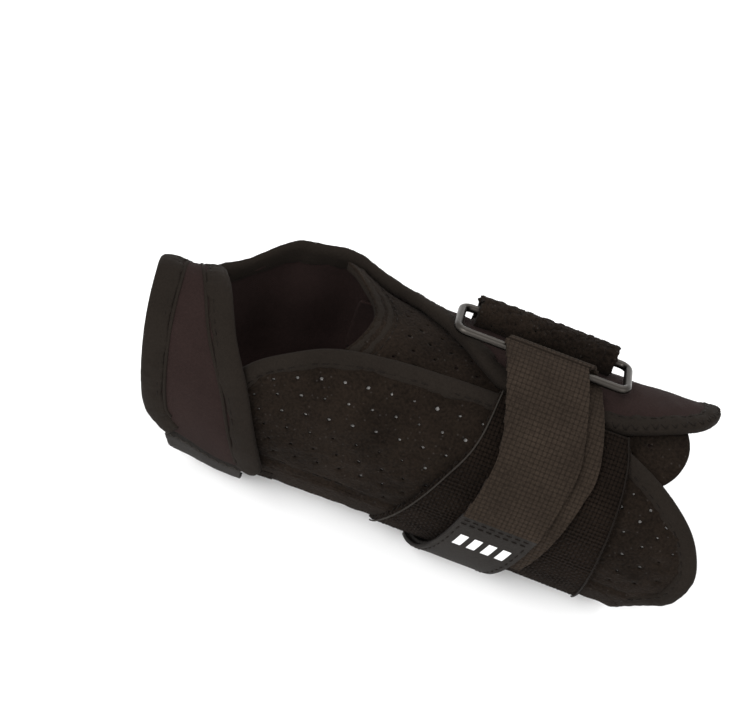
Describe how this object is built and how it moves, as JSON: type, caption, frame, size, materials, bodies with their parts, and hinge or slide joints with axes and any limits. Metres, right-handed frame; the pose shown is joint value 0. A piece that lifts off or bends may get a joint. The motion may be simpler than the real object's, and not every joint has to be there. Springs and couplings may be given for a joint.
{
  "type": "wrist splint",
  "caption": "Left wrist splint with bound soft panels, thumb opening, web strap, elastic closing strap through a wire ring and removable stays.",
  "frame": {"origin": "centre of the bounding box's underside, on the surface the splint lies on", "axes": "+X from the fingers to the elbow, +Y towards the palm side, -Y the back of the hand, +Z the thumb side"},
  "size_m": [0.1888, 0.0746, 0.0839],
  "materials": {
    "smooth_knit": "fine dull knit over foam",
    "brushed_pile": "brushed fuzzy pile",
    "binding_tape": "rolled knit binding",
    "woven_elastic": "ribbed woven elastic and loop pile",
    "hook_tape": "grey-black nylon hook tape",
    "nickel_wire": "satin nickel plate",
    "stay_aluminium": "mill finish"
  },
  "bodies": {
    "splint_shell": {"volar_panel": "smooth_knit", "volar_panel_binding": "binding_tape", "dorsal_panel": "brushed_pile", "dorsal_panel_binding": "binding_tape", "thumb_tongue": "smooth_knit", "thumb_hole_roll": "binding_tape", "palmar_stay_pocket": "smooth_knit", "dorsal_stay_pocket": "smooth_knit", "ulnar_seam_tape": "binding_tape", "closure_band": "woven_elastic", "ring_tab": "woven_elastic", "strap_under_run": "woven_elastic", "web_strap_landing": "brushed_pile", "web_strap_root": "smooth_knit"},
    "ring": {"strap_ring": "nickel_wire"},
    "strap": {"strap_tail": "woven_elastic", "strap_fold": "woven_elastic", "strap_hook_tab": "hook_tape", "strap_hook_pad": "hook_tape"},
    "web_strap": {"web_strap": "smooth_knit", "web_strap_front_binding": "binding_tape", "web_strap_rear_binding": "binding_tape", "web_strap_hook_tab": "hook_tape", "web_strap_hook_pad": "hook_tape"},
    "palmar_stay": {"palmar_stay": "stay_aluminium"},
    "dorsal_stay": {"dorsal_stay": "stay_aluminium"}
  },
  "joints": [
    {"name": "ring_swing", "type": "hinge", "parent": "splint_shell", "child": "ring", "pos_m": [0.02504, 0.02374, 0.07179], "axis": [-1, 0, 0], "range_deg": [0, 30]},
    {"name": "strap_lift", "type": "hinge", "parent": "ring", "child": "strap", "pos_m": [0.02504, 0.00838, 0.07984], "axis": [-1, 0, 0], "range_deg": [0, 110], "deforming": ["strap_fold"]},
    {"name": "web_strap_lift", "type": "hinge", "parent": "splint_shell", "child": "web_strap", "pos_m": [-0.08396, 0.0078, 0.05914], "axis": [-1, 0, 0], "range_deg": [0, 90], "deforming": ["web_strap_root"]},
    {"name": "palmar_stay_slide", "type": "slide", "parent": "splint_shell", "child": "palmar_stay", "axis": [1, 0, 0], "range_m": [0, 0.12]},
    {"name": "dorsal_stay_slide", "type": "slide", "parent": "splint_shell", "child": "dorsal_stay", "axis": [1, 0, 0], "range_m": [0, 0.13]}
  ]
}
